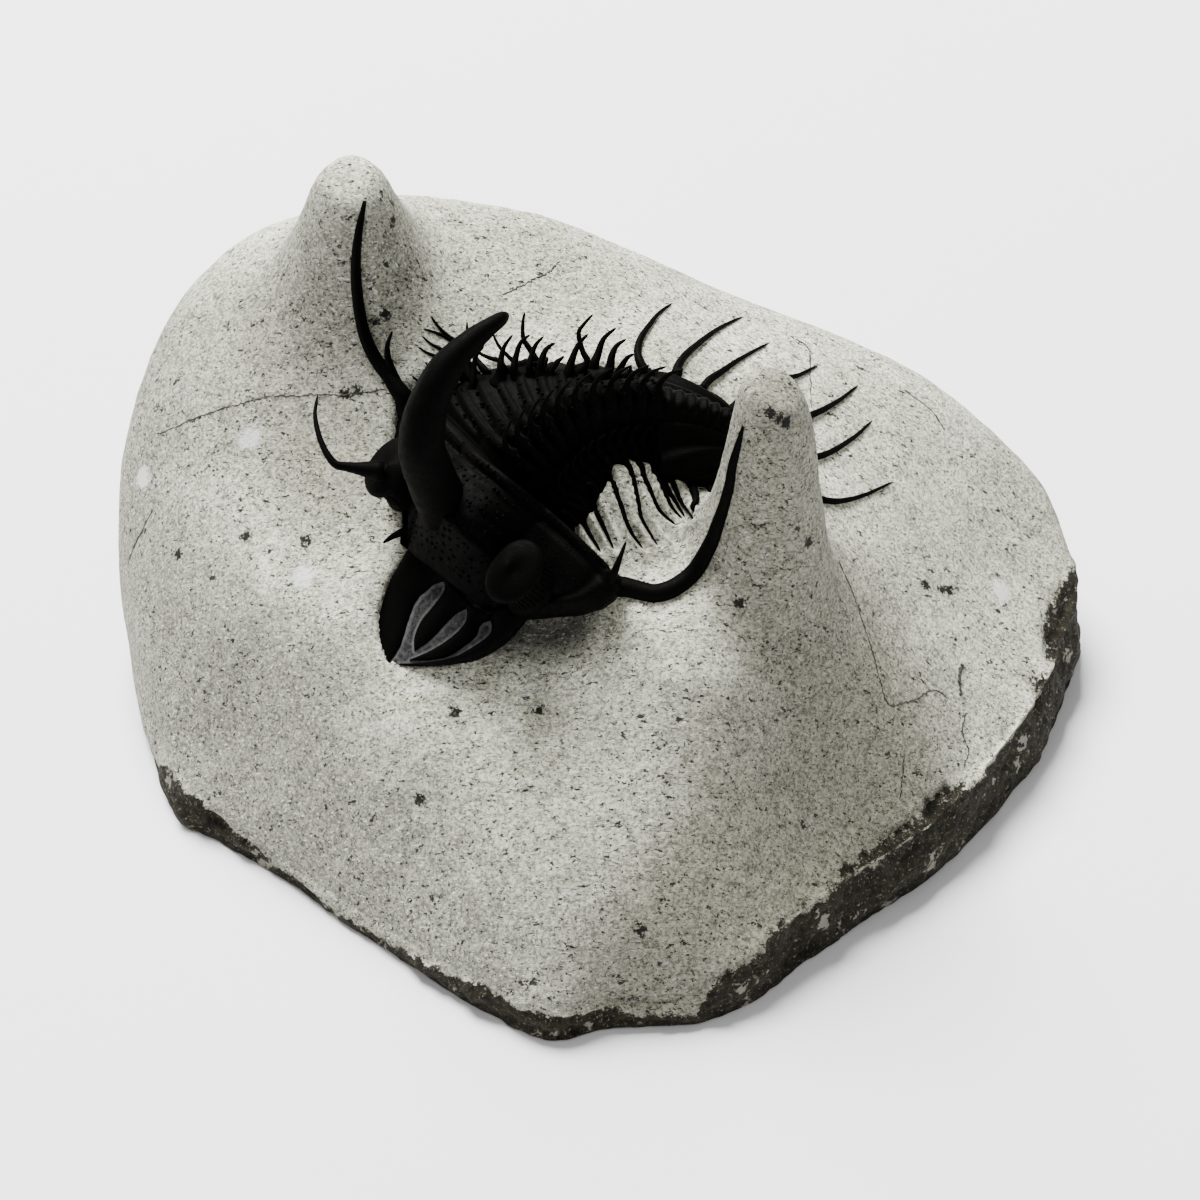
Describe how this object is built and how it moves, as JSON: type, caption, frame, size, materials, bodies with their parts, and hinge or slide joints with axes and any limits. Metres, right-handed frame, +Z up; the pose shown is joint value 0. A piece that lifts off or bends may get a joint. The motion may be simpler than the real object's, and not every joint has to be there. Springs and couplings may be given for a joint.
{
  "type": "trilobite fossil",
  "caption": "Spiny trilobite with a tall curved horn and long cheek spines, standing free on a carved limestone block between two stone columns.",
  "frame": {"origin": "middle of the block's outline, on its flat base", "axes": "+X along the block towards the tail's end, +Y from the animal's near side to its far side, +Z up"},
  "size_m": [0.1056, 0.0802, 0.0592],
  "materials": {
    "matrix": "carved pale grey limestone, fine speckle, dark rough natural rim",
    "cephalon": "black fossil shell, satin",
    "thorax": "black fossil shell, satin",
    "pygidium": "black fossil shell, satin"
  },
  "bodies": {
    "root": {"matrix": "matrix", "cephalon": "cephalon", "thorax": "thorax", "pygidium": "pygidium"}
  },
  "joints": []
}
